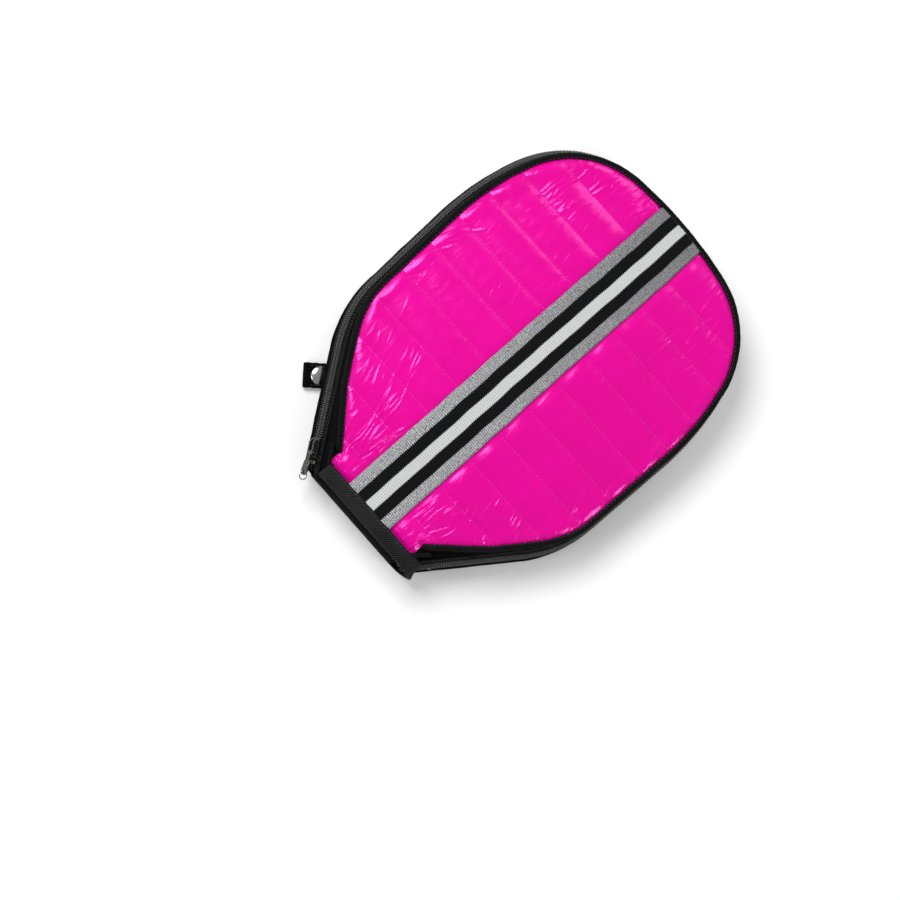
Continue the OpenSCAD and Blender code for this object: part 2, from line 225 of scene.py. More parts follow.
def drawn_in(s, reach=DRAWN_IN):
    """The extra inset of the front panel's edge, which grows towards the neck."""
    full, start = DRAWN_RUN
    return reach * np.clip(1 - (np.minimum(s, TOTAL - s) - full) / (start - full), 0, 1) ** 1.25


def path_axes(s, lean=0.0):
    """Rows along the path, up the face and out of the face, for a face that leans outwards by that angle."""
    nx, ny = (np.interp(s, PATH_S, PATH[:, i]) for i in (2, 3))
    zero = np.zeros_like(nx)
    n = unit(np.stack([nx, ny, zero], -1))
    t = np.stack([n[..., 1], -n[..., 0], zero], -1)
    up, c, s = np.array([0, 0, 1.0]), math.cos(lean), math.sin(lean)
    return np.stack([t, up * c - n * s, n * c + up * s], -2)


def zip_in(rise, out):
    """Insets and height of a point by the zip's face, from its height over the gap and its way outwards."""
    n = out / math.cos(ZIP_TILT) - rise * math.tan(ZIP_TILT)
    return ZIP_IN[0] - n, ZIP_IN[1] - n, ZIP_Z + rise


def sweep(name, section, material, body, span=(0, TOTAL), step=1.5, wobble=None, drawn=0.0):
    """A closed section of (side inset, neck inset, z) rows carried along the outline. wobble gives its moves
    outwards and up, and drawn is its share, or each row's, of the front edge's extra inset."""
    s = np.linspace(*span, max(2, round((span[1] - span[0]) / step) + 1))
    side, neck, z = np.array(section, float).T
    out, lift = wobble(s[:, None], np.arange(len(z))[None]) if wobble else (0, 0)
    out = out - drawn_in(s)[:, None] * np.asarray(drawn, float)
    return tube(name, on_path(s[:, None], side - out, neck - out, z + lift), material, body)


def wall(outer, thick):
    """A closed section from its outer line, top to bottom."""
    return list(outer) + [(a + thick, b + thick, z) for a, b, z in outer[::-1]]


def fine(line, count):
    """The line drawn as a smooth curve through its points, with count points."""
    line = np.asarray(line, float)
    t = np.r_[0, np.cumsum(np.linalg.norm(np.diff(line, axis=0), axis=1))]
    slope = np.gradient(line, t, axis=0)
    rows = []
    for u in np.linspace(0, t[-1], count):
        i = min(np.searchsorted(t, u, side="right") - 1, len(t) - 2)
        h = t[i + 1] - t[i]
        f = (u - t[i]) / h
        rows.append((2 * f**3 - 3 * f**2 + 1) * line[i] + (f**3 - 2 * f**2 + f) * h * slope[i]
                    + (3 * f**2 - 2 * f**3) * line[i + 1] + (f**3 - f**2) * h * slope[i + 1])
    return np.array(rows)


def dashes(line, up, length, gap, wide, high):
    """The places, axes and shape of stitches along a line of points; up is the surface's normal at each."""
    line, up = np.asarray(line, float), np.asarray(up, float)
    t = np.r_[0, np.cumsum(np.linalg.norm(np.diff(line, axis=0), axis=1))]
    at = np.arange(gap / 2 + length / 2, t[-1] - length / 2, length + gap)
    pick = lambda a, u: np.stack([np.interp(u, t, a[:, i]) for i in range(3)], -1)
    ahead = unit(pick(line, at + length / 2) - pick(line, at - length / 2))
    n = unit(pick(up, at))
    across = unit(np.cross(n, ahead))
    axes = np.stack([ahead, across, np.cross(ahead, across)], -2)
    half = length / 2
    stops = [(-half, 0, 0), (-half * 0.75, wide * 0.8, high * 0.8), (0, wide, high),
             (half * 0.75, wide * 0.8, high * 0.8), (half, 0, 0)]
    return pick(line, at), axes, stops


def stitched(name, lines, size, body, material):
    """Stitches along (points, normals) lines; size is their length, gap, half width and half height."""
    centres, axes, stops = zip(*(dashes(line, up, *size) for line, up in lines))
    points, faces = bead(stops[0])
    return scatter(name, points, faces, np.concatenate(centres), np.concatenate(axes), material, body)


# ===== materials =====

class Mat:
    """A node material. Every helper gives back an output socket."""

    def __init__(self, name, **shader):
        self.material = bpy.data.materials.new(name)
        self.material.use_nodes = True
        self.tree = self.material.node_tree
        self.shader = self.tree.nodes["Principled BSDF"]
        for key, value in shader.items():
            self.put(self.shader, key.replace("_", " "), value)

    def put(self, node, key, value):
        socket = node.inputs[key]
        if isinstance(value, bpy.types.NodeSocket):
            self.tree.links.new(value, socket)
        elif socket.type == "RGBA" and len(value) == 3:
            socket.default_value = (*value, 1)
        else:
            socket.default_value = value

    def node(self, kind, inputs, output=0, **settings):
        node = self.tree.nodes.new("ShaderNode" + kind)
        for key, value in settings.items():
            setattr(node, key, value)
        for key, value in inputs.items():
            self.put(node, key, value)
        return node.outputs[output]

    def math(self, operation, a, b=0.0, c=0.0):
        return self.node("Math", {0: a, 1: b, 2: c}, operation=operation)

    def mix(self, factor, a, b):
        node = self.tree.nodes.new("ShaderNodeMix")
        node.data_type = "RGBA"
        sockets = {s.identifier: s for s in node.inputs}
        for key, value in (("Factor_Float", factor), ("A_Color", a), ("B_Color", b)):
            if isinstance(value, bpy.types.NodeSocket):
                self.tree.links.new(value, sockets[key])
            else:
                sockets[key].default_value = (*value, 1)
        return [s for s in node.outputs if s.identifier == "Result_Color"][0]

    def range(self, value, low, high, to_low=0.0, to_high=1.0):
        return self.node("MapRange", {0: value, 1: low, 2: high, 3: to_low, 4: to_high})

    def place(self, kind="Object", scale=(1, 1, 1), turn=(0, 0, 0)):
        where = self.node("TexCoord", {}, kind)
        return self.node("Mapping", {"Vector": where, "Rotation": turn, "Scale": scale})

    def noise(self, vector, scale, detail=3.0, roughness=0.55, warp=0.0):
        return self.node("TexNoise", {"Vector": vector, "Scale": scale, "Detail": detail,
                                      "Roughness": roughness, "Distortion": warp})

    def split(self, vector):
        node = self.tree.nodes.new("ShaderNodeSeparateXYZ")
        self.tree.links.new(vector, node.inputs[0])
        return node.outputs

    def wave(self, value, pitch):
        """A sine from 0 to 1 over value, with that pitch."""
        return self.math("MULTIPLY_ADD", self.math("SINE", self.math("MULTIPLY", value, TAU / pitch)), 0.5, 0.5)

    def bump(self, height, distance, strength=1.0, normal=None):
        inputs = {"Height": height, "Distance": distance, "Strength": strength}
        if normal is not None:
            inputs["Normal"] = normal
        return self.node("Bump", inputs)

    def finish(self, color, roughness, normal):
        for key, value in (("Base Color", color), ("Roughness", roughness), ("Normal", normal)):
            if value is not None:
                self.put(self.shader, key, value)
        return self.material


def woven(name, dark, light, along, across, depth, slant, roughness=0.7):
    """A woven tape: u runs along it and v across it, in millimetres."""
    m = Mat(name, Roughness=roughness, Sheen_Weight=0.02, Sheen_Roughness=0.4, Specular_IOR_Level=0.04)
    u, v = m.split(m.place("UV"))[:2]
    lean = m.math("MULTIPLY_ADD", v, slant, u)
    rib, yarn = m.wave(lean, along), m.wave(v, across)
    weave = m.math("MULTIPLY", rib, m.math("MULTIPLY_ADD", yarn, 0.5, 0.5))
    fuzz = m.noise(m.place(), 2600, 2)
    worn = m.noise(m.place(), 45, 3)
    tone = m.math("MULTIPLY_ADD", fuzz, 0.5, m.math("MULTIPLY", weave, 0.6))
    color = m.mix(m.range(tone, 0.2, 0.95), dark, light)
    color = m.mix(m.range(worn, 0.35, 0.75, 0, 0.35), color, light)
    height = m.math("MULTIPLY_ADD", fuzz, 0.35, weave)
    return m.finish(color, None, m.bump(height, depth))


def black_mesh():
    """Spacer mesh: rows of small holes in a knitted black ground."""
    m = Mat("black_mesh", Roughness=0.75, Specular_IOR_Level=0.0)
    u, v = m.split(m.place("UV"))[:2]
    holes = m.math("MULTIPLY", m.wave(m.math("ADD", u, v), 1.5), m.wave(m.math("SUBTRACT", u, v), 1.5))
    knit = m.wave(v, 0.45)
    fuzz = m.noise(m.place(), 2200, 2)
    solid = m.math("MULTIPLY_ADD", fuzz, 0.3, m.range(holes, 0.62, 0.3))
    color = m.mix(m.math("MULTIPLY", solid, m.math("MULTIPLY_ADD", knit, 0.4, 0.6)),
                  (0.0004, 0.0004, 0.0004), (0.0075, 0.0075, 0.008))
    return m.finish(color, None, m.bump(m.math("MULTIPLY_ADD", knit, 0.2, solid), 0.00022))


def pink_nylon():
    """Glossy coated nylon: a fine plain weave under creases that gather where the piece says so."""
    m = Mat("pink_nylon", Specular_IOR_Level=0.95, Specular_Tint=(1, 0.20, 0.68))
    where = m.place()
    cloud = m.noise(where, 30, 3)
    color = m.mix(m.range(cloud, 0.3, 0.7), (0.735, 0.0, 0.285), (0.795, 0.0002, 0.315))
    gather = m.node("Attribute", {}, "Fac", attribute_name="gather")
    pull = m.place(scale=(150, 34, 30), turn=(0, 0, math.radians(-22)))
    ridge = m.math("ABSOLUTE", m.math("SUBTRACT", m.noise(pull, 1, 2, 0.45, 0.35), 0.5))
    ridge = m.node("MapRange", {0: ridge, 1: 0.10, 2: 0.0}, interpolation_type="SMOOTHSTEP")
    patch = m.range(m.noise(where, 42, 2), 0.45, 0.62)
    soft = m.noise(m.place(scale=(120, 38, 40), turn=(0, 0, math.radians(-18))), 1, 3)
    x, y = m.split(where)[:2]
    weave = m.math("ADD", m.wave(x, 0.00042), m.wave(y, 0.00042))
    rough = m.range(m.noise(where, 160, 3), 0.3, 0.7, 0.15, 0.27)
    pulled = m.math("MULTIPLY", m.math("MULTIPLY", ridge, patch), m.math("MULTIPLY_ADD", gather, 0.9, 0.1))
    normal = m.bump(weave, 0.000003)
    normal = m.bump(soft, 0.0012, 0.35, normal)
    normal = m.bump(pulled, 0.0006, 0.6, normal)
    return m.finish(color, rough, normal)


def striped_webbing():
    """Five bands: grey, black, white, black, grey. u runs along the stripe and v across it."""
    m = Mat("striped_webbing", Roughness=0.6, Specular_IOR_Level=0.06)
    u, v = m.split(m.place("UV"))[:2]
    rib = m.wave(u, 1.45)
    edge = m.math("MULTIPLY_ADD", rib, 0.6, m.math("ABSOLUTE", v))
    near = lambda at: m.range(edge, at, at + 0.22)
    grain = m.noise(m.place(scale=(2600, 3800, 2600)), 1, 2)
    fleck = m.noise(m.place(scale=(2000, 1300, 1300)), 1, 3)
    yarn = m.wave(v, 0.62)
    shade = m.math("MULTIPLY_ADD", rib, 0.55, m.math("MULTIPLY", grain, 0.5))
    white = m.mix(shade, (0.30, 0.31, 0.305), (0.80, 0.82, 0.81))
    black = m.mix(m.math("POWER", shade, 1.6), (0.0004, 0.0004, 0.0005), (0.012, 0.012, 0.013))
    silver = m.mix(m.range(m.math("MULTIPLY_ADD", fleck, 1.0, m.math("MULTIPLY", yarn, 0.12)), 0.38, 0.72),
                   (0.05, 0.05, 0.053), (0.70, 0.71, 0.72))
    # The grey bands are darkened in the troughs between the ribs: painted shade.
    silver = m.mix(m.range(rib, 0.0, 0.6, 0.55, 0), silver, (0.05, 0.05, 0.054))
    # The grey bands are painted darker towards the top end of the case: painted shade.
    along = m.range(u, -HALF * 0.4, HALF, 0, 0.6)
    silver = m.mix(along, silver, (0.08, 0.08, 0.084))
    color = m.mix(near(STRIPE * 0.2), white, black)
    color = m.mix(near(STRIPE * 0.6), color, silver)
    height = m.math("MULTIPLY_ADD", grain, 0.3, m.math("MULTIPLY_ADD", yarn, 0.25, rib))
    return m.finish(color, None, m.bump(height, 0.00016))


def nylon_lining():
    """Plain black lining with a soft sheen."""
    m = Mat("black_lining", Roughness=0.55, Sheen_Weight=0.15, Specular_IOR_Level=0.35)
    where = m.place()
    x, y = m.split(where)[:2]
    weave = m.math("MULTIPLY", m.wave(x, 0.0008), m.wave(y, 0.0008))
    color = m.mix(weave, (0.008, 0.008, 0.009), (0.026, 0.026, 0.029))
    soft = m.noise(where, 120, 3)
    normal = m.bump(soft, 0.0012, 0.3, m.bump(weave, 0.00004))
    return m.finish(color, m.range(soft, 0.3, 0.7, 0.45, 0.65), normal)


def coil_plastic():
    """Moulded nylon for the zip's teeth."""
    m = Mat("zip_coil", Roughness=0.30, Specular_IOR_Level=0.5)
    where = m.place()
    color = m.mix(m.noise(where, 900, 2), (0.012, 0.012, 0.013), (0.090, 0.090, 0.095))
    return m.finish(color, m.range(m.noise(where, 2500, 2), 0.3, 0.7, 0.26, 0.46),
                    m.bump(m.noise(where, 3200, 2), 0.00003))


def metal(name, dark, light, rough, worn):
    """Metal that is brighter along its edges, with fine scratches."""
    m = Mat(name, Metallic=1.0)
    where = m.place()
    edge = m.node("NewGeometry", {}, "Pointiness")
    wear = m.math("MULTIPLY", m.range(edge, 0.51, 0.60), m.range(m.noise(where, 900, 4), 0.35, 0.6))
    scratch = m.noise(m.place(scale=(400, 6000, 400), turn=(0.4, 0.2, 0.9)), 1, 2)
    color = m.mix(m.math("MULTIPLY_ADD", scratch, 0.25, m.math("MULTIPLY", wear, worn)), dark, light)
    return m.finish(color, m.range(scratch, 0.2, 0.8, rough * 0.7, rough * 1.35), m.bump(scratch, 0.00001))


def thread(name, dark, light):
    """Plied sewing thread."""
    m = Mat(name, Roughness=0.5, Sheen_Weight=0.2)
    ply = m.noise(m.place(scale=(5200, 1400, 2000), turn=(0, 0, 0.6)), 1, 2)
    return m.finish(m.mix(ply, dark, light), None, m.bump(ply, 0.00005))


def pale_floor():
    m = Mat("pale_floor", Roughness=0.9, Specular_IOR_Level=0.1,
            Emission_Color=(1, 1, 1), Emission_Strength=0.10)
    where = m.place()
    return m.finish(m.mix(m.noise(where, 3, 3), (0.93, 0.93, 0.93), (0.96, 0.96, 0.96)), None,
                    m.bump(m.noise(where, 60, 3), 0.0002))


PINK = pink_nylon()
TAPE = woven("black_tape", (0.0004, 0.0004, 0.0005), (0.0135, 0.0135, 0.0145), 1.5, 1.4, 0.00028, 0.9)
WEB = woven("black_webbing", (0.0002, 0.0002, 0.0003), (0.004, 0.004, 0.0045), 1.4, 1.9, 0.00016, 0.0)
NECK_TAPE = woven("neck_tape", (0.0004, 0.0004, 0.0005), (0.042, 0.042, 0.044), 1.9, 1.6, 0.00040, 0.9)
ZIPTAPE = woven("zip_tape", (0.0003, 0.0003, 0.0004), (0.0055, 0.0055, 0.006), 0.8, 0.9, 0.00012, 1.0, 0.6)
MESH = black_mesh()
STRIPED = striped_webbing()
LINING = nylon_lining()
COIL = coil_plastic()
DARK = metal("dark_metal", (0.022, 0.022, 0.021), (0.30, 0.30, 0.29), 0.34, 0.8)
BRIGHT = metal("bright_metal", (0.50, 0.50, 0.52), (0.92, 0.92, 0.93), 0.16, 0.5)
PINK_THREAD = thread("pink_thread", (0.42, 0.0, 0.18), (0.88, 0.015, 0.40))
BLACK_THREAD = thread("black_thread", (0.006, 0.006, 0.007), (0.050, 0.050, 0.054))
GREY_THREAD = thread("grey_thread", (0.30, 0.26, 0.29), (0.75, 0.68, 0.73))


# ===== panels =====

def dome(x, y):
    """Rise of the front panel over its edge."""
    y = np.asarray(y, float)
    away = np.hypot(x, y - np.clip(y, DOME_LOW, DOME_HIGH))
    return DOME_H * np.clip(1 - (away / DOME_R) ** 2, 0, None)


def panel_ring(side, neck, drawn=0, low=PANEL_LOW):
    """A panel's outline, closed and cut level at the neck; a drawn one comes out again past the piping."""
    s = np.arange(0, TOTAL, 1.2)
    extra = drawn_in(s, drawn)
    if drawn:
        extra -= 3.6 * smooth((BEAD_BARE - 0.5 - np.minimum(s, TOTAL - s)) / 4)
    line = on_path(s, side + extra, neck + extra, 0)[:, :2]
    keep = np.flatnonzero(line[:, 1] > low)
    line = line[keep[0]:keep[-1] + 1]
    t = math.tan(TILT)
    first = (line[0, 0] + (line[0, 1] - low) * t, low)
    last = (line[-1, 0] - (line[-1, 1] - low) * t, low)
    return np.array([first, *line, last])


def inside_by(x, y, ring):
    """Distance inside the ring (negative outside), and the nearest point of the ring."""
    p = np.stack([x.ravel(), y.ravel()], -1)
    best, near, odd = np.full(len(p), 1e9), np.zeros_like(p), np.zeros(len(p), bool)
    for a, b in zip(ring, np.roll(ring, -1, 0)):
        d = b - a
        f = np.clip(((p - a) @ d) / max(d @ d, 1e-9), 0, 1)
        q = a + f[:, None] * d
        gap = np.hypot(*(p - q).T)
        closer = gap < best
        best[closer], near[closer] = gap[closer], q[closer]
        crosses = (a[1] > p[:, 1]) != (b[1] > p[:, 1])
        with np.errstate(divide="ignore", invalid="ignore"):
            odd ^= crosses & (p[:, 0] < a[0] + (p[:, 1] - a[1]) * d[0] / d[1])
    return np.where(odd, best, -best).reshape(x.shape), near.reshape(*x.shape, 2)


def seam_lean(x):
    """The quilting lines turn up a little towards the right edge."""
    return 0.032 * np.clip(x - STRIPE, 0, None) + 0.010 * np.clip(x + STRIPE, None, 0)


class Grid:
    """A grid over a panel whose rows meet the quilting lines and whose rim lies on the panel's outline."""

    def __init__(self, cell, ring):
        columns, self.rows = round(STRIPE / cell), round(PITCH / cell)
        dx, dy = STRIPE / columns, PITCH / self.rows
        k = np.arange(-math.ceil((HALF + SEAM_Y + 8) / dy), math.ceil((HALF - SEAM_Y + 8) / dy) + 1)
        self.x, row = np.meshgrid(dx * np.arange(-math.ceil(112 / dx), math.ceil(112 / dx) + 1), k)
        self.y = SEAM_Y + dy * row + seam_lean(self.x)
        self.row = row
        self.inside, near = inside_by(self.x, self.y, ring)
        far = self.inside < -0.72 * cell
        rim = ~far & (self.inside < 0.25 * cell)
        self.x, self.y = np.where(rim, near[..., 0], self.x), np.where(rim, near[..., 1], self.y)
        corner = lambda a: np.stack([a[:-1, :-1], a[:-1, 1:], a[1:, 1:], a[1:, :-1]])
        keep = ~corner(far).any(0) & (corner(self.inside).mean(0) > 0)
        number = np.arange(self.x.size).reshape(self.x.shape)
        quads = corner(number)[:, keep].T
        used, quads = np.unique(quads, return_inverse=True)
        self.faces = quads.reshape(-1, 4)
        pick = lambda a: a.ravel()[used]
        self.x, self.y, self.row, self.inside = pick(self.x), pick(self.y), pick(self.row), pick(self.inside)
        self.inside = np.where(pick(rim), 0, self.inside)

    def rim_edges(self):
        """The edges that only one face has, in that face's order."""
        edges = {}
        for face in self.faces.tolist():
            for a, b in zip(face, face[1:] + face[:1]):
                if (b, a) in edges:
                    del edges[(b, a)]
                else:
                    edges[(a, b)] = True
        return list(edges)

    def phase(self):
        """Place between two quilting lines, from 0 to 1."""
        return (self.row % self.rows) / self.rows


def puffs(grid, height, stripe, margin=9):
    """Height of the stuffed rows over the stitched lines."""
    f = grid.phase()
    rise = (1 - np.abs(2 * f - 1) ** 2.0) * smooth(grid.inside / margin) ** 0.7
    if stripe:
        rise = rise * smooth((np.abs(grid.x) - STRIPE) / 7) ** 0.6
    return height * rise


def simulated(grid, z, pinned, pressure=1.2, growth=0.011, frames=20, reach=3.0):
    """The sheet (x, y, z) after a short cloth run: it is cut too wide, is blown up, and stays at its pins."""
    big = 0.02                                   # the run is done at this many metres for a millimetre
    points = np.stack([grid.x, grid.y, z], -1)
    mesh = bpy.data.meshes.new("run")
    mesh.from_pydata((points * big).tolist(), [], grid.faces.tolist())
    piece = linked("run", mesh)
    piece.shape_key_add(name="Basis")
    cut = piece.shape_key_add(name="cut")
    wide = points * (1 + growth, 1 + growth * 0.2, 1) + np.stack([0 * z, points[:, 0] * -0.004, 0 * z], -1)
    cut.data.foreach_set("co", (wide * big).astype(np.float32).ravel())
    piece.vertex_groups.new(name="pin").add(np.flatnonzero(pinned).tolist(), 1.0, "REPLACE")
    cloth = piece.modifiers.new("cloth", "CLOTH")
    s = cloth.settings
    s.quality, s.mass, s.air_damping = 6, 0.25, 2
    s.tension_stiffness = s.compression_stiffness = 22
    s.shear_stiffness, s.bending_stiffness = 9, 1.2
    s.tension_damping = s.compression_damping = 8
    s.vertex_group_mass = "pin"
    s.pin_stiffness = 1
    s.rest_shape_key = cut
    s.use_pressure, s.uniform_pressure_force = True, pressure
    s.effector_weights.gravity = 0
    cloth.collision_settings.use_collision = False
    cloth.point_cache.frame_start, cloth.point_cache.frame_end = 1, frames
    for frame_number in range(1, frames + 1):
        bpy.context.scene.frame_set(frame_number)
    run = piece.evaluated_get(bpy.context.evaluated_depsgraph_get())
    co = np.zeros(len(points) * 3, np.float32)
    run.data.vertices.foreach_get("co", co)
    bpy.data.objects.remove(piece)
    bpy.context.scene.frame_set(1)
    moved = co.reshape(-1, 3) / big - points
    far = np.linalg.norm(moved, axis=1, keepdims=True)
    return points + moved * np.minimum(1, reach / np.maximum(far, 1e-9))


def gather_mask(grid):
    """Where the cover is creased: along the edges, round the neck and down the left of the top."""
    x, y = grid.x, grid.y
    edge = 1 - smooth((grid.inside - 2) / 15)
    neck = smooth((-58 - y) / 60)
    crown = np.exp(-(((x + 66) / 13) ** 2 + ((y - 98) / 44) ** 2))
    right = np.exp(-(((x - 62) / 16) ** 2 + ((y - 88) / 30) ** 2)) * 0.6
    return np.clip(0.55 * edge + 0.9 * neck + 0.9 * crown + right, 0, 1) * (0.75 + 0.25 * swell(x, y, 30, 5))


# Groups of creases: how many, the middle and spread of their places, their angle and spread in degrees,
# their length and height, all in the case's frame, and the point that a fan of them runs from.
CREASES = (
    (22, (-36, -104), (12, 22), 106, 7, (16, 40), 0.40, (-30, -150)),
    (18, (-58, -66), (18, 18), 114, 8, (12, 26), 0.24, None),
    (20, (34, -110), (12, 16), 100, 12, (10, 26), 0.34, (26, -160)),
    (30, (62, -84), (20, 16), 110, 10, (8, 20), 0.30, None),
    (26, (90, -34), (9, 30), 116, 12, (6, 15), 0.26, None),
    (34, (-66, 98), (14, 28), 84, 14, (7, 18), 0.34, None),
    (16, (-40, 122), (18, 9), 100, 16, (6, 13), 0.28, None),
    (24, (62, 88), (16, 28), 92, 12, (9, 24), 0.26, None),
    (22, (92, 38), (8, 34), 120, 14, (6, 13), 0.22, None),
    (14, (-92, 20), (6, 40), 66, 14, (6, 12), 0.20, None),
    (150, (0, 0), (96, 118), 106, 14, (7, 20), 0.12, None),
)


def creased(piece):
    """Adds single creases to a cover: each is a narrow ridge with a shallow valley beside it."""
    mesh = piece.data
    co = np.zeros(len(mesh.vertices) * 3)
    mesh.vertices.foreach_get("co", co)
    co = co.reshape(-1, 3) / MM
    top = co[:, 2] > EDGE_Z - 2.6 + dome(co[:, 0], co[:, 1])
    draw = np.random.default_rng(101)
    lift = np.zeros(len(co))
    for count, middle, spread, angle, turn, length, height, fan in CREASES:
        for _ in range(count):
            at = np.array(middle) + draw.uniform(-1, 1, 2) * spread
            if fan:
                angle = math.degrees(math.atan2(at[1] - fan[1], at[0] - fan[0]))
            a = math.radians(angle + draw.uniform(-turn, turn))
            half, width = draw.uniform(*length) / 2, draw.uniform(0.55, 1.15)
            bend = draw.uniform(-0.016, 0.016)
            tall = height * draw.uniform(0.5, 1.1)
            d = co[:, :2] - at
            along = d[:, 0] * math.cos(a) + d[:, 1] * math.sin(a)
            across = -d[:, 0] * math.sin(a) + d[:, 1] * math.cos(a) - bend * along ** 2
            near = (np.abs(along) < half) & (np.abs(across) < 4 * width)
            u, v = along[near] / half, across[near] / width
            lift[near] += tall * (1 - u * u) * (np.exp(-v * v) - 0.45 * np.exp(-((v - 1.7) / 1.1) ** 2))
    calm = smooth((np.abs(co[:, 0]) - STRIPE - 0.5) / 3)
    co[:, 2] += lift * top * calm
    mesh.vertices.foreach_set("co", (co * MM).ravel())
    mesh.update()


def closed(grid, flip):
    """Faces of a closed form made of the grid's points, the same number of points behind them, and a rim; the
    first ones face down where flip says so."""
    count, faces, rim = len(grid.x), grid.faces.tolist(), grid.rim_edges()
    if flip:
        faces, rim = [f[::-1] for f in faces], [(b, a) for a, b in rim]
    behind = [[v + count for v in f[::-1]] for f in faces]
    return faces + behind + [[b, a, a + count, b + count] for a, b in rim]


def subdivided(piece, levels):
    """The piece with its subdivision made final."""
    level = piece.modifiers.new("finer", "SUBSURF")
    level.levels = level.render_levels = levels
    level.boundary_smooth = "PRESERVE_CORNERS"
    run = piece.evaluated_get(bpy.context.evaluated_depsgraph_get())
    mesh = bpy.data.meshes.new_from_object(run, preserve_all_data_layers=True,
                                           depsgraph=bpy.context.evaluated_depsgraph_get())
    piece.modifiers.clear()
    piece.data = mesh
    mesh.shade_smooth()


def pad(name, cell, ring, pin_z, body, nodes, seed):
    """A quilted pad: the cover, its stitched-down lines and the inner face, as one closed form. The back one
    is made facing up as well, and turned over."""
    back = body == BACK
    grid = Grid(cell, ring)
    x, y = grid.x, grid.y
    base = (0 * x if back else EDGE_Z + dome(x, y)) - BASE_IN[body]
    low = base - 1.5 * (1 - smooth(grid.inside / 6)) + pin_z     # the cover turns down into the edge binding
    start = low + puffs(grid, 1.7, not back) + 0.06 * swell(x, y, 9, seed) * smooth(grid.inside / 6)
    pinned = (grid.phase() == 0) | (grid.inside <= 0.4 * cell)
    if not back:
        pinned = pinned | (np.abs(x) <= STRIPE + 0.01)
    start = np.where(pinned, low, start)
    cover = simulated(grid, start, pinned)
    under = np.stack([x, y, base - PAD_T[body]], -1)
    if back:
        cover[:, 2] = np.maximum(0.05, -cover[:, 2])
        under[:, 2] = -under[:, 2]
    count = len(x)
    piece = make(name, np.concatenate([cover, under]), closed(grid, back), PINK, body, None)
    mask = piece.data.attributes.new("gather", "FLOAT", "POINT")
    mask.data.foreach_set("value", np.r_[gather_mask(grid), np.zeros(count)].astype(np.float32))
    if not back:
        subdivided(piece, 2)
        creased(piece)
    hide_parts(*nodes)
    return grid, cover


front = pad("quilted_front", 1.27, panel_ring(7.4, 10.6, DRAWN_IN), -1.0, FRONT,
            ("front_cover", "front_padding"), 11)
back = pad("quilted_back", 2.1, panel_ring(7.6, 10.8), -1.3, BACK, ("back_cover", "back_padding"), 23)


def seam_lines(grid, cover, up, lift):
    """The quilting lines over a cover, as (points, normals), broken where the front's stripe covers them.
    The cover faces up or down as up is 1 or -1, and lift is how far over it the lines lie."""
    lines = []
    for number in np.unique(grid.row[grid.row % grid.rows == 0]):
        here = np.flatnonzero((grid.row == number) & (grid.inside > 0.5))
        here = here[np.argsort(grid.x[here])]
        parts = [here[grid.x[here] < -STRIPE], here[grid.x[here] > STRIPE]] if up > 0 else [here]
        for part in parts:
            if len(part) > 4:
                line = cover[part] + (0, 0, lift * up)
                lines.append((line, np.tile((0, 0, float(up)), (len(line), 1))))
    return lines


for name, panel, up, lift, body in (("front_quilting", front, 1, 0.10, FRONT),
                                    ("back_quilting", back, -1, 0.02, BACK)):
    stitched(name, seam_lines(*panel, up, lift), (1.9, 1.1, 0.20, 0.16), body, PINK_THREAD)


def lining(name, ring, body, node, seed):
    """A thin quilted sheet on the inside of a panel, puffed out on the side that faces the pocket."""
    grid = Grid(2.5, ring)
    x, y = grid.x, grid.y
    up = 1 if body == BACK else -1
    deep = BASE_IN[body] + PAD_T[body] + LINING_IN[body]
    mid = 0 * x + deep if body == BACK else EDGE_Z + dome(x, y) - deep
    puffed = 0.15 + puffs(grid, 0.7, False, 5) + 0.12 * swell(x, y, 14, seed) * smooth(grid.inside / 6)
    points = np.concatenate([np.stack([x, y, z], -1) for z in (mid + up * puffed, mid - up * 0.25)])
    piece = make(name, points, closed(grid, up < 0), LINING, body, None)
    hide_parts(node)


lining("front_lining_cloth", panel_ring(7.7, 10.9, DRAWN_IN), FRONT, "front_lining", 31)
lining("back_lining_cloth", panel_ring(6.8, 9.9), BACK, "back_lining", 37)


# ===== stripe =====

def stripe():
    """The centre webbing: it lies over the dome and dips a little at each quilting line."""
    low = PANEL_LOW - 1.2
    y = np.linspace(low, STRIPE_TOP + 2.2, 190)
    v = np.linspace(-STRIPE, STRIPE, 21)
    yy, vv = np.meshgrid(y, v, indexing="ij")
    bow = -1.9 * smooth((HALF - yy) / (1.1 * HALF))
    f = (yy - SEAM_Y) / PITCH
    dip = 0.28 * np.abs(np.sin(math.pi * f)) ** 0.6
    drop = 1.0 * smooth((yy - STRIPE_TOP + 4) / 6)
    base = EDGE_Z + dome(vv + bow, yy) + 0.05 + dip * (1 - 0.5 * (vv / STRIPE) ** 2) - drop
    base += 0.10 * swell(vv, yy, 22, 41) - 0.35 * np.abs(vv / STRIPE) ** 8
    top = np.stack([vv + bow + 0.12 * ripple(yy, 26, 43), yy, base + 0.35], -1)
    under = top - (0, 0, 0.9)
    rings = np.concatenate([top, under[:, ::-1]], 1)
    piece = tube("centre_stripe", rings, STRIPED, FRONT)
    m, uv = rings.shape[1], piece.data.uv_layers["UVMap"].data
    across = np.r_[v, v[::-1]]
    for loop in piece.data.loops:
        i, j = divmod(loop.vertex_index, m)
        uv[loop.index].uv = (y[i], across[j])
    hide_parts("stripe_webbing")
    lines = []
    for side in (-1, 1):
        line = top[:, len(v) // 2 + side * 9] + (side * 0.2, 0, 0.06)
        lines.append((line, np.tile((0, 0, 1.0), (len(line), 1))))
    stitched("stripe_stitches", lines, (1.7, 0.9, 0.17, 0.13), FRONT, GREY_THREAD)


stripe()


# ===== edges =====

